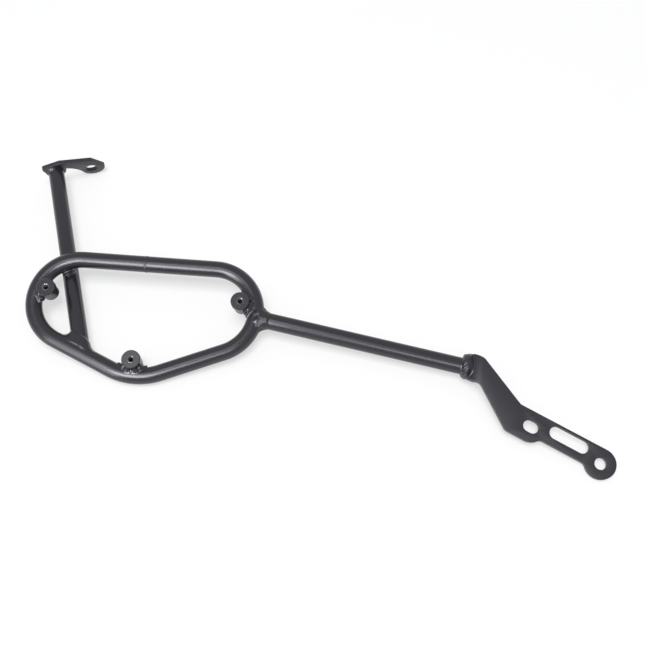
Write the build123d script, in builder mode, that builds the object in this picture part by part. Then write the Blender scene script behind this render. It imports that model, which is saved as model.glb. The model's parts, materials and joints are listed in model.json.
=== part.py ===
# Side carrier of a motorcycle: a closed hoop of bent tube with a strut and an arm welded to it,
# a bracket plate at the end of each, and three threaded bosses for the luggage.
# It is drawn on the carrier plane: X along the top rail to the front, Y up, Z out of the outer face,
# with the origin half way along the axis of the top rail. At the end it is laid on the floor.
import os
from math import acos, asin, cos, degrees, radians, sin, sqrt, tan

from build123d import *

os.makedirs("parts", exist_ok=True)

# Tube stock
tube_d = 16.0
tube_wall = 1.5

# Hoop, measured on its centreline
hoop_length = 217.0
rail_slope = 23.0
end_bend_r = 43.0
apex_bend_r = 61.5
butt_weld_x = -3.6
butt_weld_width = 2.6
butt_weld_height = 0.25
butt_weld_edge = 0.18

# Strut, from the lower rail to the top bracket
strut_foot_x = -52.9
strut_lean = 19.27
strut_reach = 216.6
strut_clearance = 0.15

# Top bracket, square to the carrier plane, in its own axes: X along the plate from the strut, Y out
top_plate_t = 4.5
top_end_r = 10.6
top_tip_x = -13.0
top_tip_r = 3.0
top_end_offset = 11.9
top_end_slope = 9.5
top_hole_d = 12.0
top_hole_x = 35.0
top_hole_y = -11.2
top_lobe_r = 12.3
top_lobe_x = 37.0
top_lobe_y = -11.4
top_edge_angle = 16.5
top_edge_offset = 14.8
top_edge_r = 8.0
top_corner_r = 4.0
top_chamfer_angle = 58.0
top_neck_angle = 4.0
top_neck_x = 19.2
top_neck_y = -4.8
top_lobe_angle = 16.0
top_clip_angle = 5.0

# Arm, from the hoop's front bend to the front bracket
arm_seat_angle = -4.7
arm_droop = 9.1
arm_reach = 209.0

# Front bracket, in its own axes: X square to the flange, Y up
flange_droop = 4.0
front_plate_t = 5.0
front_face_z = 12.0
bend_r = 12.0
flange_r = 12.1
strip_upper = 12.4
strip_lower = 11.2
limb_upper_x = 20.5
limb_upper_angle = 46.2
limb_lower_x = -0.1
limb_lower_angle = 56.2
oval_x = 60.3
oval_y = -49.4
tab_angle = 20.6
tab_pitch = 68.9
tab_end_r = 14.2
tab_lower_edge = 7.0
round_hole_d = 11.0
oval_length = 14.5
oval_width = 11.0
slot_length = 38.0
slot_width = 12.0
slot_along = 35.4
slot_offset = 5.9
shoulder_r = 10.0
limb_foot_r = 7.0
limb_knee_r = 5.0
limb_heel_r = 8.0
tab_waist_r = 6.0

# Bosses, each placed by its angle about the bend's centre and set inwards from the hoop's centreline
rear_boss_angle = 165.3
rear_boss_inset = 13.7
lower_boss_angle = -92.0
lower_boss_inset = 12.2
front_boss_angle = 14.9
front_boss_inset = 13.4
boss_face_z = 16.0
boss_length = 18.5
boss_collar_d = 17.9
boss_collar_t = 5.0
boss_spigot_d = 15.6
boss_bore_d = 5.0
boss_mouth_d = 6.6
boss_edge = 0.6

# Weld beads: how far each reaches out over the two surfaces it joins
bead_root = 4.5
bead_toe = 0.3
bead_crown = 0.7
bead_stretch = 1.65
foot_leg = 4.5
arm_leg = 4.4
crossing_leg = 4.6
crossing_gap = 7.0
crossing_width = 10.0
boss_leg = 6.8
boss_side_leg = 1.8
boss_bead_depth = 1.3
boss_bead_rise = 1.6
boss_bead_step_z = 1.5
boss_bead_toe_z = 5.4
boss_bead_top_z = 10.5
boss_bead_gap = 2.6
plate_leg = 2.5
plate_bead_taper = 35.0
plate_bead_angle = 150.0
flange_leg = 7.6
flange_crest = 3.1
flange_crest_end = 1.0
flange_bead_r = 12.2
flange_bead_rise = 0.9

tube_r = tube_d / 2
bore_r = tube_r - tube_wall


def meet(point_a, angle_a, point_b, angle_b):
    """Point where two lines in a plane cross, each given by a point and an angle in degrees."""
    start = Vector(point_a)
    heading = Vector(cos(radians(angle_a)), sin(radians(angle_a)))
    across = Vector(-sin(radians(angle_b)), cos(radians(angle_b)))
    return start + heading * ((Vector(point_b) - start).dot(across) / heading.dot(across))


# Hoop: the centreline is a triangle with rounded corners
end_x = hoop_length / 2 - end_bend_r
half_base = end_x + end_bend_r / tan(radians(rail_slope / 2))
apex_depth = half_base * tan(radians(rail_slope))

with BuildLine() as hoop_path:
    FilletPolyline(
        (-half_base, 0),
        (half_base, 0),
        (0, -apex_depth),
        radius=[end_bend_r, end_bend_r, apex_bend_r],
        close=True,
    )
hoop_start = Plane(origin=hoop_path.wire() @ 0, z_dir=hoop_path.wire() % 0)


def hoop_rod(radius):
    """Solid rod of the given radius along the hoop's centreline."""
    with BuildSketch(hoop_start) as section:
        Circle(radius)
    with BuildPart() as rod:
        sweep(section.sketch, path=hoop_path.wire())
    return rod.part


hoop_body = hoop_rod(tube_r)

with BuildPart() as hoop:
    add(hoop_body)
    add(hoop_rod(bore_r), mode=Mode.SUBTRACT)

# Ring weld that closes the hoop
with BuildPart() as hoop_butt_weld:
    with BuildSketch(Plane.YZ.offset(butt_weld_x - butt_weld_width / 2)):
        Circle(tube_r + butt_weld_height)
        Circle(tube_r, mode=Mode.SUBTRACT)
    extrude(amount=butt_weld_width)
    rims = hoop_butt_weld.edges().filter_by(GeomType.CIRCLE).group_by(SortBy.RADIUS)[-1]
    chamfer(rims, length=butt_weld_edge)

# Strut: its foot is on the lower rail, and it dives just far enough to pass under the top bend
foot = Vector(strut_foot_x, -(strut_foot_x + half_base) * tan(radians(rail_slope)))
strut_heading = Vector(-sin(radians(strut_lean)), cos(radians(strut_lean)))
bend_centre = Vector(-end_x, -end_bend_r)
foot_offset = foot - bend_centre
half_chord = sqrt(foot_offset.dot(strut_heading) ** 2 - foot_offset.length**2 + end_bend_r**2)
crossing_run = half_chord - foot_offset.dot(strut_heading)
strut_dive = degrees(asin((tube_d + strut_clearance) / crossing_run))
strut_axis = strut_heading * cos(radians(strut_dive)) - Vector(0, 0, sin(radians(strut_dive)))
strut_top = foot + strut_axis * (strut_reach / cos(radians(strut_dive)))
strut_plane = Plane(origin=foot, x_dir=(0, 0, 1), z_dir=strut_axis)
bracket_seat = Plane(origin=strut_top, x_dir=(strut_heading.Y, -strut_heading.X), z_dir=-strut_heading)


def strut_rod(radius):
    """Solid rod along the strut, from the rail's axis to the underside of the top bracket."""
    with BuildPart() as rod:
        with BuildSketch(strut_plane):
            Circle(radius)
        extrude(amount=2 * strut_reach)
        split(bisect_by=bracket_seat, keep=Keep.TOP)
    return rod.part


strut_body = strut_rod(tube_r)

with BuildPart() as strut_tube:
    add(strut_body)
    add(strut_rod(bore_r), mode=Mode.SUBTRACT)
    add(hoop_body, mode=Mode.SUBTRACT)


def saddle_bead(seat, rail_heading, tube_heading, tube_solid, leg):
    """Weld bead round a tube's coped end: a short cone that flares along the rail it stands on."""
    slant = tube_heading.dot(rail_heading)
    rail_normal = (tube_heading - rail_heading * slant).normalized()
    rise = tube_heading.dot(rail_normal)
    with BuildPart() as bead:
        for height, flare in ((tube_r - bead_root, leg), (tube_r + leg, bead_toe)):
            acute_flare = flare * bead_stretch * slant
            centre = seat + tube_heading * (height / rise) + rail_heading * acute_flare
            with BuildSketch(Plane(origin=centre, x_dir=rail_heading, z_dir=rail_normal)):
                Ellipse(tube_r / rise + flare + abs(acute_flare), tube_r + bead_crown)
        loft()
        add(hoop_body, mode=Mode.SUBTRACT)
        add(tube_solid, mode=Mode.SUBTRACT)
    return bead


# Bead round the strut's coped foot
rail_heading = Vector(cos(radians(rail_slope)), -sin(radians(rail_slope)))
strut_foot_weld = saddle_bead(foot, rail_heading, strut_axis, strut_body, foot_leg)

# Two beads where the strut passes under the top bend
crossing = foot + strut_heading * crossing_run
crossing_plane = Plane(origin=crossing, x_dir=(0, 0, 1), z_dir=strut_heading)
with BuildPart() as crossing_fill:
    add(hoop_rod(tube_r + crossing_leg))
    add(strut_rod(tube_r + crossing_leg), mode=Mode.INTERSECT)
    with BuildSketch(strut_plane.offset(crossing_run / 2)):
        Rectangle(2 * tube_d, crossing_width)
    extrude(amount=crossing_run, mode=Mode.INTERSECT)
    add(hoop_body, mode=Mode.SUBTRACT)
    add(strut_body, mode=Mode.SUBTRACT)

with BuildPart() as strut_crossing_weld_lower:
    add(crossing_fill.part)
    split(bisect_by=crossing_plane.offset(-crossing_gap / 2), keep=Keep.BOTTOM)

with BuildPart() as strut_crossing_weld_upper:
    add(crossing_fill.part)
    split(bisect_by=crossing_plane.offset(crossing_gap / 2), keep=Keep.TOP)

# Top bracket: a round end on the strut, a narrow neck and a clipped round lobe about the bolt hole
top_lobe = Vector(top_lobe_x, top_lobe_y)
end_edge = Vector(0, top_end_offset)
end_tip = meet(end_edge, top_end_slope, (top_tip_x, 0), 90)
near_edge = Vector(sin(radians(top_edge_angle)), cos(radians(top_edge_angle))) * top_edge_offset
near_corner = meet(end_edge, top_end_slope, near_edge, -top_edge_angle)
neck_start = Vector(cos(radians(top_neck_angle)), sin(radians(top_neck_angle))) * top_end_r
neck_end = top_lobe - Vector(cos(radians(top_lobe_angle)), sin(radians(top_lobe_angle))) * top_lobe_r
clip_start = top_lobe + Vector(cos(radians(top_clip_angle)), -sin(radians(top_clip_angle))) * top_lobe_r
clip_corner = meet(near_edge, -top_edge_angle, clip_start, -top_chamfer_angle)

with BuildPart() as top_bracket:
    with BuildSketch(bracket_seat):
        with BuildLine():
            ThreePointArc((-top_end_r, 0), (0, -top_end_r), neck_start)
            ThreePointArc(neck_start, (top_neck_x, top_neck_y), neck_end)
            ThreePointArc(neck_end, top_lobe - Vector(0, top_lobe_r), clip_start)
            FilletPolyline(
                clip_start,
                clip_corner,
                near_corner,
                end_tip,
                (-top_end_r, 0),
                radius=[top_corner_r, top_edge_r, top_tip_r],
            )
        make_face()
        with Locations((top_hole_x, top_hole_y)):
            Circle(top_hole_d / 2, mode=Mode.SUBTRACT)
    extrude(amount=-top_plate_t)

# Bead half way round the strut under the top bracket
plate_bead_side = bracket_seat.rotated((0, 0, plate_bead_angle)).x_dir
with BuildPart() as top_bracket_weld:
    with BuildSketch(bracket_seat):
        Circle(tube_r + plate_leg)
    extrude(amount=plate_leg, taper=plate_bead_taper)
    add(strut_body, mode=Mode.SUBTRACT)
    split(bisect_by=Plane(origin=strut_top, z_dir=plate_bead_side), keep=Keep.TOP)

# Front bracket: an L-shaped sheet cut to its outline, with a round end on the flange
arm_seat = Vector(
    end_x + end_bend_r * cos(radians(arm_seat_angle)),
    -end_bend_r + end_bend_r * sin(radians(arm_seat_angle)),
)
arm_heading = Vector(cos(radians(arm_droop)), -sin(radians(arm_droop)))
flange_centre = arm_seat + arm_heading * arm_reach
flange_heading = Vector(cos(radians(flange_droop)), -sin(radians(flange_droop)))
bracket_plane = Plane(origin=flange_centre, x_dir=flange_heading, z_dir=(0, 0, 1))
sheet_plane = Plane(origin=flange_centre, x_dir=flange_heading, z_dir=-bracket_plane.y_dir)
flange_plane = Plane(origin=flange_centre, x_dir=bracket_plane.y_dir, z_dir=flange_heading)

tab_heading = Vector(cos(radians(tab_angle)), -sin(radians(tab_angle)))
tab_normal = Vector(sin(radians(tab_angle)), cos(radians(tab_angle)))
oval_centre = Vector(oval_x, oval_y)
tab_centre = oval_centre + tab_heading * tab_pitch
slot_centre = oval_centre + tab_heading * slot_along + tab_normal * slot_offset
tab_top = tab_centre + tab_normal * tab_end_r
tab_bottom = tab_centre - tab_normal * tab_lower_edge
waist = oval_centre - tab_normal * tab_lower_edge
bump_bottom = oval_centre - tab_normal * tab_end_r
waist_along = sqrt(tab_end_r**2 - tab_lower_edge**2)
bump_waist = waist + tab_heading * waist_along
tab_waist = tab_bottom - tab_heading * waist_along
flange_top = meet((0, flange_r), 0, tab_normal * strip_upper, -tab_angle)
flange_bottom = meet((0, -flange_r), 0, tab_normal * -strip_lower, -tab_angle)
shoulder = meet(flange_top, -tab_angle, (limb_upper_x, 0), -limb_upper_angle)
limb_foot = meet(flange_bottom, -tab_angle, (limb_lower_x, 0), -limb_lower_angle)
knee = meet(shoulder, -limb_upper_angle, tab_top, -tab_angle)
heel = meet(limb_foot, -limb_lower_angle, bump_bottom, -tab_angle)
sheet_end = tab_centre.X + 2 * tab_end_r

with BuildPart() as front_bracket:
    with BuildSketch(sheet_plane):
        with BuildLine():
            outer = FilletPolyline(
                (0, -2 * flange_r),
                (0, front_face_z),
                (sheet_end, front_face_z),
                radius=bend_r,
            )
            inner = FilletPolyline(
                (front_plate_t, -2 * flange_r),
                (front_plate_t, front_face_z - front_plate_t),
                (sheet_end, front_face_z - front_plate_t),
                radius=bend_r - front_plate_t,
            )
            Line(outer @ 0, inner @ 0)
            Line(outer @ 1, inner @ 1)
        make_face()
    extrude(amount=sheet_end, both=True)
    with BuildSketch(bracket_plane) as outline:
        with BuildLine():
            Polyline(
                (-flange_r, flange_r),
                flange_top,
                shoulder,
                knee,
                tab_top,
                tab_bottom,
                waist,
                bump_bottom,
                heel,
                limb_foot,
                flange_bottom,
                (-flange_r, -flange_r),
                close=True,
            )
        make_face()
        with Locations(oval_centre, tab_centre):
            Circle(tab_end_r)
        for corner, radius in (
            (shoulder, shoulder_r),
            (knee, limb_knee_r),
            (heel, limb_heel_r),
            (limb_foot, limb_foot_r),
            (bump_waist, tab_waist_r),
            (tab_waist, tab_waist_r),
        ):
            fillet(outline.vertices().sort_by_distance(corner)[0], radius)
        with Locations(tab_centre):
            Circle(round_hole_d / 2, mode=Mode.SUBTRACT)
        with Locations(oval_centre):
            SlotOverall(oval_length, oval_width, rotation=-tab_angle, mode=Mode.SUBTRACT)
        with Locations(slot_centre):
            SlotOverall(slot_length, slot_width, rotation=-tab_angle, mode=Mode.SUBTRACT)
    extrude(amount=sheet_end, both=True, mode=Mode.INTERSECT)
    with BuildSketch(flange_plane):
        with Locations((0, -2 * flange_r)):
            Rectangle(4 * flange_r, 4 * flange_r)
        Circle(flange_r, mode=Mode.SUBTRACT)
    extrude(amount=front_plate_t, mode=Mode.SUBTRACT)

# Arm: coped on the hoop's front bend, and cut to the flange and its bend
arm_plane = Plane(origin=arm_seat, x_dir=(0, 0, 1), z_dir=arm_heading)


def arm_rod(radius):
    """Solid rod along the arm, from the hoop's axis to the inside of the flange."""
    with BuildPart() as rod:
        with BuildSketch(arm_plane):
            Circle(radius)
        extrude(amount=2 * arm_reach)
        split(bisect_by=flange_plane.offset(front_plate_t), keep=Keep.BOTTOM)
    return rod.part


arm_body = arm_rod(tube_r)

with BuildPart() as arm_tube:
    add(arm_body)
    add(arm_rod(bore_r), mode=Mode.SUBTRACT)
    add(hoop_body, mode=Mode.SUBTRACT)
    add(front_bracket.part, mode=Mode.SUBTRACT)

# Bead round the arm's coped end
seat_heading = Vector(-sin(radians(arm_seat_angle)), cos(radians(arm_seat_angle)))
arm_hoop_weld = saddle_bead(arm_seat, seat_heading, arm_heading, arm_body, arm_leg)

# Heavy bead between the arm and the flange: a cone and a crest, which also fills the hollow under the bend
bead_centre = flange_centre + arm_plane.y_dir * -flange_bead_rise
with BuildPart() as arm_bracket_weld:
    with BuildSketch(Plane(origin=bead_centre, x_dir=-arm_plane.y_dir, z_dir=(0, 0, 1))):
        with BuildLine():
            Polyline(
                (0, flange_leg),
                (tube_r + bead_toe, flange_leg),
                (flange_bead_r, flange_crest),
                (flange_bead_r, flange_crest_end),
                (tube_r, -front_plate_t),
                (0, -front_plate_t),
                close=True,
            )
        make_face()
    revolve(axis=Axis(bead_centre, arm_heading))
    split(bisect_by=flange_plane.offset(front_plate_t / 2), keep=Keep.BOTTOM)
    add(arm_body, mode=Mode.SUBTRACT)
    add(front_bracket.part, mode=Mode.SUBTRACT)

# Bosses: a collar and a spigot turned in one, threaded through, with a saddle cut where the hoop passes
apex_centre = Vector(0, apex_bend_r / cos(radians(rail_slope)) - apex_depth)
front_bend_centre = Vector(end_x, -end_bend_r)
boss_places = {
    "rear_boss": (bend_centre, end_bend_r - rear_boss_inset, rear_boss_angle, "upper", "lower"),
    "lower_boss": (apex_centre, apex_bend_r - lower_boss_inset, lower_boss_angle, "rear", "front"),
    "front_boss": (front_bend_centre, end_bend_r - front_boss_inset, front_boss_angle, "lower", "upper"),
}
boss_bead_reach = hoop_rod(tube_r + boss_bead_depth).moved(Location((0, 0, boss_bead_rise)))
boss_spigot_r = boss_spigot_d / 2
boss_back_z = boss_face_z - boss_length
pieces = {}
for name, (bend, distance, angle, *sides) in boss_places.items():
    outwards = Vector(cos(radians(angle)), sin(radians(angle)))
    place = bend + outwards * distance
    with BuildPart() as boss:
        with BuildSketch(Plane(origin=place + Vector(0, 0, boss_back_z))):
            Circle(boss_spigot_r)
        extrude(amount=boss_length)
        with BuildSketch(Plane(origin=place + Vector(0, 0, boss_face_z))):
            Circle(boss_collar_d / 2)
        extrude(amount=-boss_collar_t)
        chamfer(boss.edges().filter_by(GeomType.CIRCLE).group_by(Axis.Z)[-1], length=boss_edge)
        chamfer(boss.edges().filter_by(GeomType.CIRCLE).group_by(Axis.Z)[0], length=boss_edge)
        with Locations(place + Vector(0, 0, boss_face_z)):
            CounterSinkHole(boss_bore_d / 2, boss_mouth_d / 2, depth=boss_length)
        add(hoop_body, mode=Mode.SUBTRACT)
    pieces[name] = boss.part

    # Two beads between the spigot and the tube, one on each side, which flare out over the tube's top
    along_tube = outwards.cross(Vector(0, 0, 1))
    for side, away in zip(sides, (along_tube, -along_tube)):
        with BuildPart() as bead:
            with BuildSketch(Plane(origin=place, x_dir=outwards, z_dir=along_tube)):
                with BuildLine():
                    Polyline(
                        (boss_spigot_r, boss_back_z),
                        (boss_spigot_r + boss_side_leg, boss_back_z),
                        (boss_spigot_r + boss_side_leg, boss_bead_step_z),
                        (boss_spigot_r + boss_leg, boss_bead_toe_z),
                        (boss_spigot_r, boss_bead_top_z),
                        close=True,
                    )
                make_face()
            revolve(axis=Axis(place, (0, 0, 1)))
            add(boss_bead_reach, mode=Mode.INTERSECT)
            add(hoop_body, mode=Mode.SUBTRACT)
            split(bisect_by=Plane(origin=place + away * boss_bead_gap / 2, z_dir=away), keep=Keep.TOP)
        pieces[f"{name}_weld_{side}"] = bead.part

pieces["hoop"] = hoop.part
pieces["hoop_butt_weld"] = hoop_butt_weld.part
pieces["strut_tube"] = strut_tube.part
pieces["strut_foot_weld"] = strut_foot_weld.part
pieces["strut_crossing_weld_lower"] = strut_crossing_weld_lower.part
pieces["strut_crossing_weld_upper"] = strut_crossing_weld_upper.part
pieces["top_bracket"] = top_bracket.part
pieces["top_bracket_weld"] = top_bracket_weld.part
pieces["arm_tube"] = arm_tube.part
pieces["arm_hoop_weld"] = arm_hoop_weld.part
pieces["front_bracket"] = front_bracket.part
pieces["arm_bracket_weld"] = arm_bracket_weld.part


def lowest(centre, radius, axis, up):
    """Lowest point of a circle about an axis, for a given up direction."""
    uphill = up - axis * up.dot(axis)
    return centre - uphill.normalized() * radius if uphill.length > 0 else centre


# The carrier lies on three points: the top bracket's round end, the hoop's lowest bend and the front
# bracket, which touches with its tab or with its flange, whichever is lower
top_end = bracket_seat.from_local_coords(top_lobe)
tab_back = bracket_plane.from_local_coords(tab_centre) + Vector(0, 0, front_face_z - front_plate_t)
flange_inside = flange_centre + arm_heading * front_plate_t
out = Vector(0, 0, 1)
up = out
for _ in range(8):
    top_rest = lowest(top_end, top_lobe_r, strut_heading, up)
    tab_rest = lowest(tab_back, tab_end_r, out, up)
    flange_rest = lowest(flange_inside, flange_r, arm_heading, up)
    front_rest = min(tab_rest, flange_rest, key=up.dot)
    apex_axis = lowest(apex_centre, apex_bend_r, out, up)
    span = (front_rest - top_rest).normalized()
    inward = (apex_axis - top_rest) - span * (apex_axis - top_rest).dot(span)
    tilt = acos(tube_r / inward.length)
    up = inward.normalized() * cos(tilt) + inward.cross(span).normalized() * sin(tilt)
floor = Plane(origin=top_rest, x_dir=Vector(1, 0, 0) - up * up.X, z_dir=up)

laid = {name: floor.to_local_coords(piece) for name, piece in pieces.items()}
box = Compound(laid.values()).bounding_box()
to_origin = Location((-box.center().X, -box.center().Y, -box.min.Z))
for name, piece in laid.items():
    placed = piece.moved(to_origin)
    placed.label = name
    export_step(placed, f"parts/{name}.step")
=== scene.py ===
import json
import math

import bmesh
import bpy
import numpy as np
import openvdb
from mathutils import Matrix, Vector
from mathutils.bvhtree import BVHTree


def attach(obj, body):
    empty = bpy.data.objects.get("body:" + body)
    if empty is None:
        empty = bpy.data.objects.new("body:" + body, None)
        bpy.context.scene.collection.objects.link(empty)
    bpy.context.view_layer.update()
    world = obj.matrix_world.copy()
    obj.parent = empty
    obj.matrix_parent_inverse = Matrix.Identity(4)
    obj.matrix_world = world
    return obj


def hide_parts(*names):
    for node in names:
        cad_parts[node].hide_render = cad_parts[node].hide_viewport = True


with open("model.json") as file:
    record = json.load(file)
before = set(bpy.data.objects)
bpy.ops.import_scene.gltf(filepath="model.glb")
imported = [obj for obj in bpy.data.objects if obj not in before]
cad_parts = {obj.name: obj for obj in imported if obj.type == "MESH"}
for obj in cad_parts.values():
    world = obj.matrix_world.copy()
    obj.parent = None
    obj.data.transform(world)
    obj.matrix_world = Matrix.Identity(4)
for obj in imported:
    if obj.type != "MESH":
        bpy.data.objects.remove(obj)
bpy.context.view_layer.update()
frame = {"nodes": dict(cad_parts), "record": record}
nodes = frame["nodes"]
mounts = {m["name"]: m for m in frame["record"]["mounts"]}
scene = bpy.context.scene
scene.view_settings.view_transform = "Standard"
mm = 0.001
print("frame loaded with", len(nodes), "nodes")


# sRGB hex to the linear colour that the shaders take
def linear(hexColour):
    parts = [int(hexColour[i:i + 2], 16) / 255 for i in (1, 3, 5)]
    return tuple(c / 12.92 if c <= 0.04045 else ((c + 0.055) / 1.055) ** 2.4
                 for c in parts) + (1.0,)


# one node with its settings; a value that is a socket is linked, any other is set
def addNode(tree, kind, inputs=None, **settings):
    node = tree.nodes.new(kind)
    for name, value in settings.items():
        setattr(node, name, value)
    for name, value in (inputs or {}).items():
        if isinstance(value, bpy.types.NodeSocket):
            tree.links.new(value, node.inputs[name])
        else:
            node.inputs[name].default_value = value
    return node


def emptyMaterial(name):
    material = bpy.data.materials.new(name)
    material.use_nodes = True
    material.node_tree.nodes.clear()
    return material


def giveFinish(mesh, finish):
    mesh.materials.clear()
    mesh.materials.append(finish)


# noise with features of the given size in mm
def noise(tree, place, size, detail, roughness):
    return addNode(tree, "ShaderNodeTexNoise", {
        "Vector": place, "Scale": 1 / (size * mm), "Detail": detail,
        "Roughness": roughness}).outputs["Fac"]


# most values of a noise lie in this span, which is spread from one end to the other
noiseSpan = (0.3, 0.7)


def spread(tree, value, ends):
    return addNode(tree, "ShaderNodeMapRange", {
        "Value": value, "From Min": noiseSpan[0], "From Max": noiseSpan[1],
        "To Min": ends[0], "To Max": ends[1]}).outputs["Result"]


# Satin black polyester powder coat, sprayed dry and baked: a near-black with a cool cast and a
# clear soft sheen, a faint orange peel where it flowed, and a fine grain in the film
coat = {
    "film": "#1f1f25", "thinFilm": "#26262c", "ior": 1.58,
    "roughness": (0.22, 0.27), "plateRoughness": (0.36, 0.42), "threadRoughness": (0.5, 0.65),
    # mm; the grain is drawn coarser than the real 0.2 mm, so that it shows
    "peel": 2.4, "grain": 0.7, "flow": 45.0, "peelDepth": 0.009, "grainDepth": 0.005,
    # the peel's depth on plates and on welds, as a share of its depth on tubes
    "platePeel": 0.8, "weldPeel": 1.5,
}


def powderCoat(name, peelDepth, roughness):
    material = emptyMaterial(name)
    tree = material.node_tree
    place = addNode(tree, "ShaderNodeTexCoord").outputs["Object"]
    flow = noise(tree, place, coat["flow"], detail=3.0, roughness=0.55)
    peel = noise(tree, place, coat["peel"], detail=1.0, roughness=0.4)
    grain = noise(tree, place, coat["grain"], detail=2.0, roughness=0.6)
    tone = addNode(tree, "ShaderNodeMix", {
        "Factor": grain, "A": linear(coat["film"]), "B": linear(coat["thinFilm"])},
        data_type="RGBA")
    fine = addNode(tree, "ShaderNodeBump", {
        "Height": grain, "Strength": 1.0, "Distance": coat["grainDepth"] * mm})
    film = addNode(tree, "ShaderNodeBump", {
        "Height": peel, "Strength": 1.0, "Distance": peelDepth * mm,
        "Normal": fine.outputs["Normal"]})
    body = addNode(tree, "ShaderNodeBsdfPrincipled", {
        "Base Color": tone.outputs["Result"], "Roughness": spread(tree, flow, roughness),
        "IOR": coat["ior"], "Normal": film.outputs["Normal"]})
    addNode(tree, "ShaderNodeOutputMaterial", {"Surface": body.outputs["BSDF"]})
    return material


platePeel = coat["peelDepth"] * coat["platePeel"]
weldPeel = coat["peelDepth"] * coat["weldPeel"]
coatOnTube = powderCoat("satinPowderCoatOnTube", coat["peelDepth"], coat["roughness"])
coatOnPlate = powderCoat("satinPowderCoatOnPlate", platePeel, coat["plateRoughness"])
coatOnWeld = powderCoat("satinPowderCoatOnWeld", weldPeel, coat["roughness"])
coatOnDressedWeld = powderCoat("satinPowderCoatOnDressedWeld", weldPeel, coat["plateRoughness"])
coatInThread = powderCoat("powderCoatDustInThread", coat["peelDepth"], coat["threadRoughness"])

# Tapped steel, masked while the frame was coated: grey, slightly oily metal, polished enough for
# the countersink to flash white
tapped = {
    "metal": "#908e8a", "oiled": "#706e6b", "roughness": (0.18, 0.3),
    "streak": 0.5, "depth": 0.01,   # mm
}


def bareSteel(name):
    material = emptyMaterial(name)
    tree = material.node_tree
    place = addNode(tree, "ShaderNodeTexCoord").outputs["Object"]
    streak = noise(tree, place, tapped["streak"], detail=3.0, roughness=0.6)
    tone = addNode(tree, "ShaderNodeMix", {
        "Factor": streak, "A": linear(tapped["metal"]), "B": linear(tapped["oiled"])},
        data_type="RGBA")
    cut = addNode(tree, "ShaderNodeBump", {
        "Height": streak, "Strength": 1.0, "Distance": tapped["depth"] * mm})
    body = addNode(tree, "ShaderNodeBsdfPrincipled", {
        "Base Color": tone.outputs["Result"],
        "Roughness": spread(tree, streak, tapped["roughness"]),
        "Metallic": 1.0, "Normal": cut.outputs["Normal"]})
    addNode(tree, "ShaderNodeOutputMaterial", {"Surface": body.outputs["BSDF"]})
    return material


steelInThread = bareSteel("bareTappedSteel")
print("materials made")


# Hoop and bosses as the source lays them, in mm and degrees: X along the top rail, Y up the hoop,
# Z out of its face
hoopSize = {"tubeR": 8.0, "length": 217.0, "slope": 23.0, "endBendR": 43.0, "apexBendR": 61.5}
tubeR = hoopSize["tubeR"]
endR = hoopSize["endBendR"]
apexR = hoopSize["apexBendR"]
slope = math.radians(hoopSize["slope"])
endX = hoopSize["length"] / 2 - endR
halfBase = endX + endR / math.tan(slope / 2)
outward = np.array((0.0, 0.0, 1.0))
rearBend = np.array((-endX, -endR, 0.0))
frontBend = np.array((endX, -endR, 0.0))
lowerBend = np.array((0.0, apexR / math.cos(slope) - halfBase * math.tan(slope), 0.0))
# each bend's centre, radius, first angle and last angle
hoopBends = (
    (frontBend, endR, slope - math.pi / 2, math.pi / 2),
    (rearBend, endR, math.pi / 2, math.pi * 1.5 - slope),
    (lowerBend, apexR, math.pi * 1.5 - slope, math.pi * 1.5 + slope),
)
bossSize = {"faceZ": 16.0, "spigotR": 7.8, "midZ": 6.3}
# each boss's bend, bend radius, inset from the tube's axis and angle, then its two welds with the
# way each turns round the boss
bosses = {
    "rear_boss": (rearBend, endR, 13.7, 165.3, ("upper", -1), ("lower", 1)),
    "lower_boss": (lowerBend, apexR, 12.2, -92.0, ("rear", -1), ("front", 1)),
    "front_boss": (frontBend, endR, 13.4, 14.9, ("lower", -1), ("upper", 1)),
}


def around(angle):
    return np.array((math.cos(angle), math.sin(angle), 0.0))


def unit(vector):
    return vector / np.linalg.norm(vector, axis=-1, keepdims=True)


bossPlaces = {name: bend + around(math.radians(angle)) * (bendR - inset)
              for name, (bend, bendR, inset, angle, *_) in bosses.items()}

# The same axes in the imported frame, found from the threads of the rear and the front boss
rearHole = np.array(mounts["rear_boss_thread"]["pos_m"])
frontHole = np.array(mounts["front_boss_thread"]["pos_m"])
axisZ = unit(np.array(mounts["rear_boss_thread"]["axis"]))
pairAcross = bossPlaces["front_boss"] - bossPlaces["rear_boss"]
pairTurn = math.atan2(pairAcross[1], pairAcross[0])
alongPair = unit(frontHole - rearHole)
axisX = unit(alongPair * math.cos(pairTurn) - np.cross(axisZ, alongPair) * math.sin(pairTurn))
axisY = np.cross(axisZ, axisX)
toRowTurn = np.stack((axisX, axisY, axisZ))
rowOrigin = rearHole - (bossPlaces["rear_boss"] + outward * bossSize["midZ"]) @ toRowTurn * mm


def toRow(points):
    return np.asarray(points) @ toRowTurn * mm + rowOrigin


def toCarrier(points):
    return (np.asarray(points) - rowOrigin) @ toRowTurn.T / mm


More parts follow.
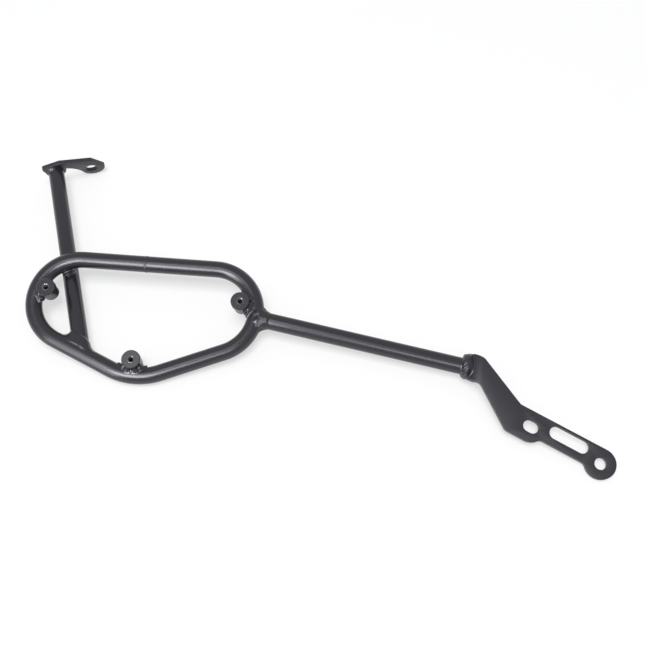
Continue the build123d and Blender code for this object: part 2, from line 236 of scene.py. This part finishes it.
# Strut and arm, in mm and degrees; the scales of the bead on the flange lie "beadBack" along the
# arm from it, and "beadLean" tips them further back
joint = {
    "strutFootX": -52.9, "strutLean": 19.27, "strutReach": 216.6, "strutClear": 0.15,
    "armSeat": -4.7, "armDroop": 9.1, "armReach": 209.0,
    "flangeRise": 0.9, "flangeDroop": 4.0, "beadBack": 3.0, "beadLean": 0.5,
}
footX = joint["strutFootX"]
strutFoot = np.array((footX, -(footX + halfBase) * math.tan(slope), 0.0))
lean = math.radians(joint["strutLean"])
strutHeading = np.array((-math.sin(lean), math.cos(lean), 0.0))
strutSide = np.cross(strutHeading, outward)
footOffset = strutFoot - rearBend
footAlong = footOffset @ strutHeading
crossingRun = math.sqrt(footAlong ** 2 - footOffset @ footOffset + endR ** 2) - footAlong
dive = math.asin((2 * tubeR + joint["strutClear"]) / crossingRun)
strutAxis = strutHeading * math.cos(dive) - outward * math.sin(dive)
strutTop = strutFoot + strutAxis * (joint["strutReach"] / math.cos(dive))
crossing = strutFoot + strutHeading * crossingRun - outward * tubeR
armSeat = frontBend + around(math.radians(joint["armSeat"])) * endR
armHeading = around(math.radians(-joint["armDroop"]))
armUp = np.cross(outward, armHeading)
flangeCentre = armSeat + armHeading * joint["armReach"]
flangeBead = flangeCentre + armUp * joint["flangeRise"] - armHeading * joint["beadBack"]
flangeUp = np.cross(outward, around(math.radians(-joint["flangeDroop"])))


# Distance in mm from each solid's surface, less than zero inside it
def hoopField(points):
    flat = points[..., :2]
    best = np.full(points.shape[:-1], np.inf)
    ends = []
    for centre, radius, first, last in hoopBends:
        reach = flat - centre[:2]
        turn = np.mod(np.arctan2(reach[..., 1], reach[..., 0]) - first, 2 * math.pi)
        gap = np.abs(np.hypot(reach[..., 0], reach[..., 1]) - radius)
        best = np.where(turn <= last - first, np.minimum(best, gap), best)
        ends.append([(centre + around(angle) * radius)[:2] for angle in (first, last)])
    for (_, start), (stop, _) in zip(ends, ends[1:] + ends[:1]):
        run = stop - start
        share = np.clip((flat - start) @ run / (run @ run), 0, 1)
        best = np.minimum(best, np.linalg.norm(flat - start - share[..., None] * run, axis=-1))
    return np.hypot(best, points[..., 2]) - tubeR


def rodField(points, start, heading):
    reach = points - start
    along = np.maximum(reach @ heading, 0)
    return np.linalg.norm(reach - along[..., None] * heading, axis=-1) - tubeR


def strutField(points):
    return rodField(points, strutFoot, strutAxis)


def armField(points):
    return rodField(points, armSeat, armHeading)


def hoopNormal(points, step=0.05):
    slopes = [hoopField(points + offset) - hoopField(points - offset)
              for offset in np.eye(3) * step]
    return unit(np.stack(slopes, axis=-1))


# Seam of a coped tube on the hoop: each line along the tube is followed inwards to the hoop's wall
def copeSeam(seat, heading, reach=40.0, halvings=40, steps=120):
    side = unit(np.cross(heading, outward))
    other = np.cross(heading, side)
    turn = np.linspace(0, 2 * math.pi, steps, endpoint=False)[:, None]
    out = side * np.cos(turn) + other * np.sin(turn)
    near = np.zeros((steps, 1))
    far = np.full((steps, 1), reach)
    for _ in range(halvings):
        mid = (near + far) / 2
        outside = hoopField(seat + out * tubeR + heading * mid)[:, None] > 0
        near, far = np.where(outside, near, mid), np.where(outside, mid, far)
    root = seat + out * tubeR + heading * far
    return root, unit(out + hoopNormal(root))


# Seam round a tube's end, over part of a turn or all of it
def ringSeam(centre, side, other, lean, first=0.0, last=360.0, steps=120):
    turn = np.radians(np.linspace(first, last, steps))[:, None]
    out = side * np.cos(turn) + other * np.sin(turn)
    return centre + out * tubeR, unit(out + lean)


# Seam between a boss and the hoop's bend: about a quarter turn round the boss, from where it faces
# the tube to one side, while the tube's wall is under it
def bossSeam(bend, bendR, place, sign, reach=95.0, wallShare=0.98, steps=60):
    turn = np.radians(np.linspace(0, reach, steps))[:, None]
    facing = unit(place - bend)
    flat = facing * np.cos(turn) + np.cross(outward, facing) * sign * np.sin(turn)
    root = place + flat * bossSize["spigotR"]
    inset = bendR - np.linalg.norm(root - bend, axis=-1, keepdims=True)
    kept = (inset < tubeR * wallShare)[:, 0]
    height = np.sqrt(np.clip(tubeR ** 2 - inset ** 2, 0, None))
    tubeOut = (outward * height - unit(root - bend) * inset) / tubeR
    return (root + outward * height)[kept], unit(flat + tubeOut)[kept]


# Seam in the groove where the strut passes under the bend
def grooveSeam(centre, across, away, half=4.4, steps=30):
    root = centre + across * np.linspace(-half, half, steps)[:, None]
    return root, np.broadcast_to(away, root.shape)


def newObject(name, mesh):
    made = bpy.data.objects.new(name, mesh)
    scene.collection.objects.link(made)
    return made


def plainMesh(source):
    bpy.context.view_layer.update()
    graph = bpy.context.evaluated_depsgraph_get()
    return bpy.data.meshes.new_from_object(source.evaluated_get(graph), depsgraph=graph)


def applyModifiers(piece):
    finished = plainMesh(piece)
    piece.modifiers.clear()
    piece.data = finished
    return finished


def meshArrays(mesh):
    mesh.calc_loop_triangles()
    points = np.empty(len(mesh.vertices) * 3, np.float32)
    mesh.vertices.foreach_get("co", points)
    corners = np.empty(len(mesh.loop_triangles) * 3, np.int32)
    mesh.loop_triangles.foreach_get("vertices", corners)
    return points.reshape(-1, 3), corners.reshape(-1, 3).astype(np.uint32)


def setVectors(mesh, name, vectors):
    attribute = mesh.attributes.new(name, "FLOAT_VECTOR", "POINT")
    attribute.data.foreach_set("vector", np.ravel(vectors))


# empty Geometry Nodes tree with the given inputs, and its input sockets
def geometryTree(name, inputs):
    tree = bpy.data.node_groups.new(name, "GeometryNodeTree")
    for socket, kind in inputs.items():
        tree.interface.new_socket(socket, in_out="INPUT", socket_type="NodeSocket" + kind)
    tree.interface.new_socket("Geometry", in_out="OUTPUT", socket_type="NodeSocketGeometry")
    return tree, addNode(tree, "NodeGroupInput").outputs


def addModifier(target, name, tree, values):
    modifier = target.modifiers.new(name, "NODES")
    modifier.node_group = tree
    for item in tree.interface.items_tree:
        if item.item_type == "SOCKET" and item.in_out == "INPUT" and item.name in values:
            modifier[item.identifier] = values[item.name]


def namedVector(tree, name):
    return addNode(tree, "GeometryNodeInputNamedAttribute", {"Name": name},
                   data_type="FLOAT_VECTOR").outputs["Attribute"]


def randomVector(tree, ends, seed):
    return addNode(tree, "FunctionNodeRandomValue", {
        0: ends[0], 1: ends[1], "Seed": seed}, data_type="FLOAT_VECTOR").outputs["Value"]


def product(tree, first, second):
    return addNode(tree, "ShaderNodeVectorMath", {0: first, 1: second},
                   operation="MULTIPLY").outputs["Vector"]


def turnedBy(tree, rotation, euler):
    turn = addNode(tree, "FunctionNodeEulerToRotation", {"Euler": euler}).outputs["Rotation"]
    return addNode(tree, "FunctionNodeRotateRotation", {
        "Rotation": rotation, "Rotate By": turn}, rotation_space="LOCAL").outputs["Rotation"]


# Weld ripples: one scale after the other along the seam, each lapped over the last one. The tip
# and the size of each lie between two ends: radians, with a share of the lean in the middle, and
# shares of the scale's size
ripple = {
    "tip": ((-0.05, 0.7, -0.15), (0.05, 1.3, 0.15)),
    "size": ((0.88, 0.85, 0.75), (1.15, 1.1, 1.25)),
    "segments": 20, "rings": 12,
}


def rippleTree():
    tree, given = geometryTree("weldRipples", {
        "Geometry": "Geometry", "Pitch": "Float", "Scale Size": "Vector", "Lean": "Float",
        "Twist": "Float", "Seed": "Int", "Finish": "Material"})
    seam = addNode(tree, "GeometryNodeMeshToCurve", {"Mesh": given["Geometry"]})
    spaced = addNode(tree, "GeometryNodeResampleCurve", {
        "Curve": seam.outputs["Curve"], "Length": given["Pitch"]}, mode="LENGTH")
    tangent = addNode(tree, "GeometryNodeInputTangent")
    turned = addNode(tree, "FunctionNodeAxesToRotation", {
        "Primary Axis": namedVector(tree, "away"), "Secondary Axis": tangent.outputs["Tangent"]},
        primary_axis="Z", secondary_axis="X")
    twist = addNode(tree, "ShaderNodeCombineXYZ", {"Z": given["Twist"]})
    twisted = turnedBy(tree, turned.outputs["Rotation"], twist.outputs["Vector"])
    leaning = addNode(tree, "ShaderNodeCombineXYZ", {"X": 1.0, "Y": given["Lean"], "Z": 1.0})
    tip = product(tree, randomVector(tree, ripple["tip"], given["Seed"]), leaning.outputs["Vector"])
    size = product(tree, randomVector(tree, ripple["size"], given["Seed"]), given["Scale Size"])
    scale = addNode(tree, "GeometryNodeMeshUVSphere", {
        "Segments": ripple["segments"], "Rings": ripple["rings"], "Radius": 1.0})
    placed = addNode(tree, "GeometryNodeInstanceOnPoints", {
        "Points": spaced.outputs["Curve"], "Instance": scale.outputs["Mesh"],
        "Rotation": turnedBy(tree, twisted, tip), "Scale": size})
    real = addNode(tree, "GeometryNodeRealizeInstances", {"Geometry": placed.outputs["Instances"]})
    done = addNode(tree, "GeometryNodeSetMaterial", {
        "Geometry": real.outputs["Geometry"], "Material": given["Finish"]})
    addNode(tree, "NodeGroupOutput", {"Geometry": done.outputs["Geometry"]})
    return tree


weldTree = rippleTree()

# How a bead is skinned, in mm: the skin goes "root" deep under the walls that it joins and "skirt"
# past its toe, and is smoothed by "ease". A scale is laid where a ray from "cast" outside meets the
# bead, with the share "embed" of its height sunk in, and the seam is broken where it jumps "leap".
# The distance grids are "band" voxels deep, and "spare" voxels wider than the skin
skin = {
    "voxel": 0.3, "sink": 0.02, "root": 0.6, "skirt": 0.5, "ease": 0.5,
    "cast": 25.0, "embed": 0.7, "leap": 3.0, "band": 12, "spare": 3,
}


def softMin(first, second, reach):
    bridge = np.clip(reach - np.abs(first - second), 0, None) / reach
    return np.minimum(first, second) - bridge ** 2 * reach / 4


def distanceGrid(points, corners, low, shape):
    grid = openvdb.FloatGrid.createLevelSetFromPolygons(
        (points - low).astype(np.float32), triangles=corners,
        transform=openvdb.createLinearTransform(skin["voxel"]),
        exBandWidth=skin["band"], inBandWidth=skin["band"])
    values = np.empty(shape, np.float32)
    grid.copyToArray(values)
    return values


# Scales laid on the bead's own surface along its seams
def laidScales(node, points, corners, seams, pitch, size, lean, twist, bridge):
    surface = BVHTree.FromPolygons(points.tolist(), corners.tolist())
    laid, edges, aways = [], [], []
    for root, away in seams:
        before = None
        for start, out in zip(root, away):
            hit = surface.ray_cast(Vector(start + out * skin["cast"]), Vector(-out))[0]
            if hit is None and not bridge:
                continue
            hit = hit or start + out * bridge
            laid.append(np.array(hit) - out * size[2] * skin["embed"])
            aways.append(out)
            if before is not None and np.linalg.norm(laid[-1] - laid[before]) < skin["leap"]:
                edges.append((before, len(laid) - 1))
            before = len(laid) - 1
    path = bpy.data.meshes.new(node + "Seam")
    path.from_pydata([tuple(p) for p in laid], edges, [])
    setVectors(path, "away", aways)
    seamObject = newObject(node + "Seam", path)
    addModifier(seamObject, "ripples", weldTree, {
        "Pitch": pitch, "Scale Size": size, "Lean": math.radians(lean),
        "Twist": math.radians(twist), "Seed": len(node), "Finish": coatOnWeld})
    scales = plainMesh(seamObject)
    bpy.data.objects.remove(seamObject)
    return meshArrays(scales)


# Specks that the grid leaves apart from the bead are dropped
def withoutSpecks(points, quads, least=0.05):
    label = np.arange(len(points))
    settled = False
    while not settled:
        merged = label.copy()
        np.minimum.at(merged, quads.ravel(), np.repeat(label[quads].min(1), quads.shape[1]))
        merged = merged[merged]
        settled = np.array_equal(merged, label)
        label = merged
    part = label[quads[:, 0]]
    kept = quads[np.bincount(part)[part] >= least * len(quads)]
    used, corners = np.unique(kept, return_inverse=True)
    return points[used], corners.reshape(kept.shape)


# Bead and scales become one coated skin that runs out smoothly on the tubes and the plate or boss
# that it joins
def coatedWeld(node, tubes, seams=(), solid=None, pitch=4.0, size=(2.4, 2.8, 2.0), lean=8.0,
               twist=0.0, bridge=0.0, toe=2.0, plateToe=None, crease=0.8, flow=5):
    points, corners = meshArrays(nodes[node].data)
    points = toCarrier(points)
    scales = []
    if seams:
        scales.append(laidScales(node, points, corners, seams, pitch, size, lean, twist, bridge))
    both = np.concatenate([points] + [laid for laid, _ in scales])
    toes = [toe] * len(tubes) + [plateToe or toe]
    skirt = max(toes) + skin["skirt"]
    margin = skirt + skin["spare"] * skin["voxel"]
    low = both.min(0) - margin
    shape = np.ceil((both.max(0) + margin - low) / skin["voxel"]).astype(int)
    weld = distanceGrid(points, corners, low, shape)
    for laid, laidCorners in scales:
        weld = softMin(weld, distanceGrid(laid, laidCorners, low, shape), crease)
    steps = [np.arange(n) * skin["voxel"] for n in shape]
    place = np.stack(np.meshgrid(*steps, indexing="ij"), axis=-1) + low
    walls = [tube(place) for tube in tubes]
    if solid:
        solidPoints, solidCorners = meshArrays(nodes[solid].data)
        walls.append(distanceGrid(toCarrier(solidPoints), solidCorners, low, shape))
    joined = np.minimum.reduce([softMin(weld, wall, reach) for wall, reach in zip(walls, toes)])
    nearest = np.minimum.reduce(walls)
    field = np.maximum.reduce((joined + skin["sink"], -nearest - skin["root"], weld - skirt))
    grid = openvdb.FloatGrid(skin["band"] * skin["voxel"])
    grid.copyFromArray(field.astype(np.float32))
    grid.transform = openvdb.createLinearTransform(skin["voxel"])
    found, quads = withoutSpecks(*grid.convertToQuads(0.0))
    # faces that enclose less than nothing are turned outwards
    a, b, c = found[quads[:, 0]], found[quads[:, 1]], found[quads[:, 2]]
    if np.einsum("ij,ij->", a, np.cross(b, c)) < 0:
        quads = quads[:, ::-1]
    mesh = bpy.data.meshes.new(node + "Skin")
    mesh.from_pydata(toRow(found + low).tolist(), [], quads.tolist())
    piece = newObject(node + "_skin", mesh)
    smoothing = piece.modifiers.new("flow", "SMOOTH")
    smoothing.factor = skin["ease"]
    smoothing.iterations = flow
    finished = applyModifiers(piece)
    giveFinish(finished, coatOnWeld)
    finished.shade_smooth()
    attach(piece, "root")
    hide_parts(node)
    print("weld", node, len(finished.polygons), "faces")


coatedWeld("strut_foot_weld", (hoopField, strutField), toe=3.0, flow=18)
coatedWeld("arm_hoop_weld", (hoopField, armField), [copeSeam(armSeat, armHeading)],
           size=(2.4, 3.0, 2.4), toe=2.6)
for place, away in (("lower", -strutHeading), ("upper", strutHeading)):
    coatedWeld(f"strut_crossing_weld_{place}", (hoopField, strutField),
               [grooveSeam(crossing, strutSide, away)])
coatedWeld("top_bracket_weld", (strutField,),
           [ringSeam(strutTop, strutSide, outward, -strutHeading, first=64.0, last=236.0)],
           "top_bracket", pitch=4.6, size=(2.7, 2.8, 3.2), toe=1.2)
coatedWeld("arm_bracket_weld", (armField,),
           [ringSeam(flangeBead, flangeUp, outward, -armHeading * joint["beadLean"])],
           "front_bracket", pitch=3.3, size=(1.7, 4.4, 2.6), twist=42.0, toe=1.2, plateToe=2.4)
for name, (bend, bendR, inset, angle, *sides) in bosses.items():
    for side, sign in sides:
        coatedWeld(f"{name}_weld_{side}", (hoopField,),
                   [bossSeam(bend, bendR, bossPlaces[name], sign)], name,
                   pitch=4.8, size=(2.9, 3.0, 2.0), bridge=1.4, toe=1.8, crease=1.4)


# Closed ring from rows of points, one row for each step of its turn
def ringMesh(name, rows):
    turns, count = rows.shape[:2]
    faces = [(i * count + j, i * count + (j + 1) % count,
              (i + 1) % turns * count + (j + 1) % count, (i + 1) % turns * count + j)
             for i in range(turns) for j in range(count)]
    mesh = bpy.data.meshes.new(name)
    mesh.from_pydata(rows.reshape(-1, 3).tolist(), [], faces)
    work = bmesh.new()
    work.from_mesh(mesh)
    bmesh.ops.recalc_face_normals(work, faces=work.faces)
    work.to_mesh(mesh)
    work.free()
    return mesh


# Ring weld that closes the hoop, in mm: a low crown with fine ripples that bow along the seam,
# dressed with a file, so its coat is less glossy. Its edges are sunk a little in the tube
ringWeld = {
    "x": -3.6, "half": 1.3, "crown": 0.2, "ripple": 0.05, "pitch": 1.2, "bow": 2.5,
    "sink": 0.03, "root": 0.5, "sides": 280, "across": 11,
}
turn = np.linspace(0, 2 * math.pi, ringWeld["sides"], endpoint=False)[:, None]
share = np.linspace(-1, 1, ringWeld["across"])
rippleCount = round(2 * math.pi * tubeR / ringWeld["pitch"])
wave = np.cos(rippleCount * turn + ringWeld["bow"] * share ** 2)
rise = (1 - share ** 2) * (ringWeld["crown"] + ringWeld["ripple"] * wave)
radius = np.pad(tubeR - ringWeld["sink"] + rise, ((0, 0), (1, 1)),
                constant_values=tubeR - ringWeld["root"])
along = np.pad(share, 1, mode="edge") * ringWeld["half"] + ringWeld["x"] + 0 * turn
ringRows = np.stack((along, radius * np.cos(turn), radius * np.sin(turn)), axis=-1)
ring = newObject("hoop_butt_weld_ring", ringMesh("hoopButtWeldRing", toRow(ringRows)))
giveFinish(ring.data, coatOnDressedWeld)
ring.data.shade_smooth()
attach(ring, "root")
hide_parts("hoop_butt_weld")
print("ring weld", len(ring.data.polygons), "faces")

# Plates cut by laser and tumbled: the sharp rims are rounded before the coat, which makes them
# catch the light. Faces that lie "flat" to each other are joined first; mm and degrees
rim = {"width": 0.35, "segments": 3, "angle": 35.0, "merge": 0.001, "flat": 0.4}


def rimmedPlate(node):
    work = bmesh.new()
    work.from_mesh(nodes[node].data)
    bmesh.ops.remove_doubles(work, verts=work.verts, dist=rim["merge"] * mm)
    bmesh.ops.dissolve_limit(work, angle_limit=math.radians(rim["flat"]),
                             verts=work.verts, edges=work.edges)
    mesh = bpy.data.meshes.new(node + "Rimmed")
    work.to_mesh(mesh)
    work.free()
    mesh.shade_smooth()
    piece = newObject(node + "_rimmed", mesh)
    bevel = piece.modifiers.new("rim", "BEVEL")
    bevel.width = rim["width"] * mm
    bevel.segments = rim["segments"]
    bevel.limit_method = "ANGLE"
    bevel.angle_limit = math.radians(rim["angle"])
    finished = applyModifiers(piece)
    giveFinish(finished, coatOnPlate)
    finished.set_sharp_from_angle(angle=math.radians(rim["angle"]))
    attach(piece, "root")
    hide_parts(node)
    print("plate", node, len(finished.polygons), "faces")


for node in ("top_bracket", "front_bracket"):
    rimmedPlate(node)


# Threads in the bosses, in mm: a ridge winding down each bore, under a countersunk lead-in that is
# given by the radius and height of its section. The ridge is lowered by "depth" times its length
thread = {
    "pitch": 1.0, "boreR": 2.5, "crest": 0.3, "length": 16.6, "depth": 1.05,
    "leadIn": ((2.42, -0.62), (3.3, 0.03), (3.42, 0.0), (3.42, -0.12), (2.6, -0.75)),
    "sides": 64, "turnSteps": 40, "ridgeSides": 6, "sharp": 40.0,
}


def leadInMesh():
    turn = np.linspace(0, 2 * math.pi, thread["sides"], endpoint=False)[:, None]
    radius, height = np.array(thread["leadIn"]).T
    rows = np.stack((radius * np.cos(turn), radius * np.sin(turn), height + 0 * turn), axis=-1)
    return ringMesh("leadIn", rows * mm)


def threadTree():
    tree, given = geometryTree("bossThreads", {
        "Geometry": "Geometry", "Lead-in": "Object", "Turns": "Float", "Bore Radius": "Float",
        "Length": "Float", "Crest": "Float", "Thread Finish": "Material",
        "Lead-in Finish": "Material"})
    winding = addNode(tree, "GeometryNodeCurveSpiral", {
        "Resolution": thread["turnSteps"], "Rotations": given["Turns"],
        "Start Radius": given["Bore Radius"], "End Radius": given["Bore Radius"],
        "Height": given["Length"]})
    section = addNode(tree, "GeometryNodeCurvePrimitiveCircle", {
        "Resolution": thread["ridgeSides"], "Radius": given["Crest"]}, mode="RADIUS")
    ridge = addNode(tree, "GeometryNodeCurveToMesh", {
        "Curve": winding.outputs["Curve"], "Profile Curve": section.outputs["Curve"],
        "Fill Caps": True})
    depth = addNode(tree, "ShaderNodeMath", {
        0: given["Length"], 1: -thread["depth"]}, operation="MULTIPLY")
    sunk = addNode(tree, "ShaderNodeCombineXYZ", {"Z": depth.outputs["Value"]})
    lowered = addNode(tree, "GeometryNodeTransform", {
        "Geometry": ridge.outputs["Mesh"], "Translation": sunk.outputs["Vector"]})
    dusted = addNode(tree, "GeometryNodeSetMaterial", {
        "Geometry": lowered.outputs["Geometry"], "Material": given["Thread Finish"]})
    leadIn = addNode(tree, "GeometryNodeObjectInfo", {"Object": given["Lead-in"]})
    bare = addNode(tree, "GeometryNodeSetMaterial", {
        "Geometry": leadIn.outputs["Geometry"], "Material": given["Lead-in Finish"]})
    both = addNode(tree, "GeometryNodeJoinGeometry")
    for finished in (dusted, bare):
        tree.links.new(finished.outputs["Geometry"], both.inputs["Geometry"])
    turned = addNode(tree, "FunctionNodeAlignRotationToVector", {
        "Vector": namedVector(tree, "axis")}, axis="Z")
    placed = addNode(tree, "GeometryNodeInstanceOnPoints", {
        "Points": given["Geometry"], "Instance": both.outputs["Geometry"],
        "Rotation": turned.outputs["Rotation"]})
    real = addNode(tree, "GeometryNodeRealizeInstances", {"Geometry": placed.outputs["Instances"]})
    addNode(tree, "NodeGroupOutput", {"Geometry": real.outputs["Geometry"]})
    return tree


mouths = toRow([place + outward * bossSize["faceZ"] for place in bossPlaces.values()])
threadPoints = bpy.data.meshes.new("threadPlaces")
threadPoints.from_pydata(mouths.tolist(), [], [])
setVectors(threadPoints, "axis", np.tile(axisZ, len(mouths)))
threads = newObject("boss_threads", threadPoints)
leadInObject = newObject("leadIn", leadInMesh())
addModifier(threads, "threads", threadTree(), {
    "Lead-in": leadInObject, "Turns": thread["length"] / thread["pitch"],
    "Bore Radius": thread["boreR"] * mm, "Length": thread["length"] * mm,
    "Crest": thread["crest"] * mm, "Thread Finish": coatInThread, "Lead-in Finish": steelInThread})
threadMesh = applyModifiers(threads)
threadMesh.shade_smooth()
threadMesh.set_sharp_from_angle(angle=math.radians(thread["sharp"]))
bpy.data.objects.remove(leadInObject)
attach(threads, "root")
print("threads", len(threadMesh.polygons), "faces")

# The tubes and the bosses keep their solids and take the coat
for node in nodes.values():
    giveFinish(node.data, coatOnTube)


# Pale studio paper, in m, wide enough to fill every view; what the camera and the reflections see
# of it is lifted part of the way to white
stage = {
    "paper": "#fafafa", "roughness": 0.9, "specular": 0.2, "lift": 0.55,
    "size": 12.0, "drop": 0.0002,
}
floorMesh = bpy.data.meshes.new("studioFloor")
half = stage["size"] / 2
floorCorners = [(-half, -half, 0), (half, -half, 0), (half, half, 0), (-half, half, 0)]
floorMesh.from_pydata(floorCorners, [], [(0, 1, 2, 3)])
floor = newObject("studioFloor", floorMesh)
floor.location.z = -stage["drop"]
paper = emptyMaterial("mattPaperFloor")
paperTree = paper.node_tree
matt = addNode(paperTree, "ShaderNodeBsdfPrincipled", {
    "Base Color": linear(stage["paper"]), "Roughness": stage["roughness"],
    "Specular IOR Level": stage["specular"]})
white = addNode(paperTree, "ShaderNodeEmission", {"Color": (1.0, 1.0, 1.0, 1.0), "Strength": 1.0})
ray = addNode(paperTree, "ShaderNodeLightPath").outputs
seen = addNode(paperTree, "ShaderNodeMath", {
    0: ray["Is Camera Ray"], 1: ray["Is Glossy Ray"]}, operation="ADD")
shown = addNode(paperTree, "ShaderNodeMath", {
    0: seen.outputs["Value"], 1: ray["Is Transmission Ray"]}, operation="ADD", use_clamp=True)
lift = addNode(paperTree, "ShaderNodeMath", {
    0: shown.outputs["Value"], 1: stage["lift"]}, operation="MULTIPLY")
lifted = addNode(paperTree, "ShaderNodeMixShader", {
    0: lift.outputs["Value"], 1: matt.outputs["BSDF"], 2: white.outputs["Emission"]})
addNode(paperTree, "ShaderNodeOutputMaterial", {"Surface": lifted.outputs["Shader"]})
floorMesh.materials.append(paper)

# Dim air all round, a little dimmer for what it lights than for what shows it
studio = {"backdrop": "#fafbff", "shown": 0.62, "air": 0.45}
world = bpy.data.worlds.new("studioAir")
scene.world = world
world.use_nodes = True
worldTree = world.node_tree
worldTree.nodes.clear()
worldRay = addNode(worldTree, "ShaderNodeLightPath").outputs
worldStrength = addNode(worldTree, "ShaderNodeMapRange", {
    "Value": worldRay["Is Diffuse Ray"], "To Min": studio["shown"], "To Max": studio["air"]})
air = addNode(worldTree, "ShaderNodeBackground", {
    "Color": linear(studio["backdrop"]), "Strength": worldStrength.outputs["Result"]})
addNode(worldTree, "ShaderNodeOutputWorld", {"Surface": air.outputs["Background"]})

# Softboxes, in m and degrees. Those for the sheen show only in reflections: a tall window to the
# left of the photographer, a small one close to the top rail, and two higher up. The one for the
# paper hangs overhead and lights only what is matt. "at" is the bearing from the front, the height
# angle and the distance from the point that the box is aimed at
tint = {"sheen": "#f8f8ff", "paper": "#ffffff"}
middle = (-0.05, -0.02, 0.02)
softboxes = {
    "window": {"lights": "sheen", "aim": middle, "at": (-42.0, 30.0, 2.0),
               "size": (0.8, 2.2), "glow": 3.9},
    "railBox": {"lights": "sheen", "aim": rowOrigin, "at": (-15.5, 39.6, 0.45),
                "size": (0.23, 0.22), "glow": 9.6},
    "upper": {"lights": "sheen", "aim": middle, "at": (9.0, 52.0, 2.0),
              "size": (0.7, 0.7), "glow": 4.5},
    "top": {"lights": "sheen", "aim": middle, "at": (-50.0, 72.0, 2.0),
            "size": (0.8, 0.8), "glow": 2.6},
    "overhead": {"lights": "paper", "aim": middle, "at": (-8.0, 79.0, 3.4),
                 "size": (1.6, 1.6), "glow": 10.4},
}
for name, box in softboxes.items():
    bearing, height = (math.radians(angle) for angle in box["at"][:2])
    towards = Vector((math.sin(bearing) * math.cos(height),
                      -math.cos(bearing) * math.cos(height), math.sin(height)))
    lamp = bpy.data.lights.new(name + "Softbox", "AREA")
    lamp.shape = "RECTANGLE"
    lamp.size, lamp.size_y = box["size"]
    lamp.color = linear(tint[box["lights"]])[:3]
    lamp.energy = box["glow"] * math.pi * lamp.size * lamp.size_y
    lampObject = newObject(name + "Softbox", lamp)
    lampObject.location = Vector(box["aim"]) + towards * box["at"][2]
    lampObject.visible_camera = False
    lampObject.visible_diffuse = box["lights"] == "paper"
    lampObject.visible_glossy = box["lights"] == "sheen"
    lampObject.rotation_mode = "QUATERNION"
    lampObject.rotation_quaternion = (-towards).to_track_quat("-Z", "Y")
print("floor and lights set")

# Camera where the photographer stood: the eye and the sensor in mm, the focal length and the frame
# in pixels, the clip distances in m
view = {
    "eye": (59.70, -441.62, 777.95),
    "right": (0.9962, 0.0873, -0.0070), "down": (0.0730, -0.8726, -0.4829),
    "focal": 900.0, "frame": 645.0, "sensor": 36.0, "clip": (0.01, 50.0),
}
lens = bpy.data.cameras.new("photoCamera")
lens.sensor_width = view["sensor"]
lens.lens = view["focal"] / view["frame"] * view["sensor"]
lens.clip_start, lens.clip_end = view["clip"]
camera = newObject("photoCamera", lens)
rightward = Vector(view["right"]).normalized()
upward = -Vector(view["down"])
upward = (upward - rightward * upward.dot(rightward)).normalized()
backward = rightward.cross(upward)
camera.matrix_world = Matrix.Translation(Vector(view["eye"]) * mm) @ Matrix(
    (rightward, upward, backward)).transposed().to_4x4()
scene.camera = camera
print("camera set")
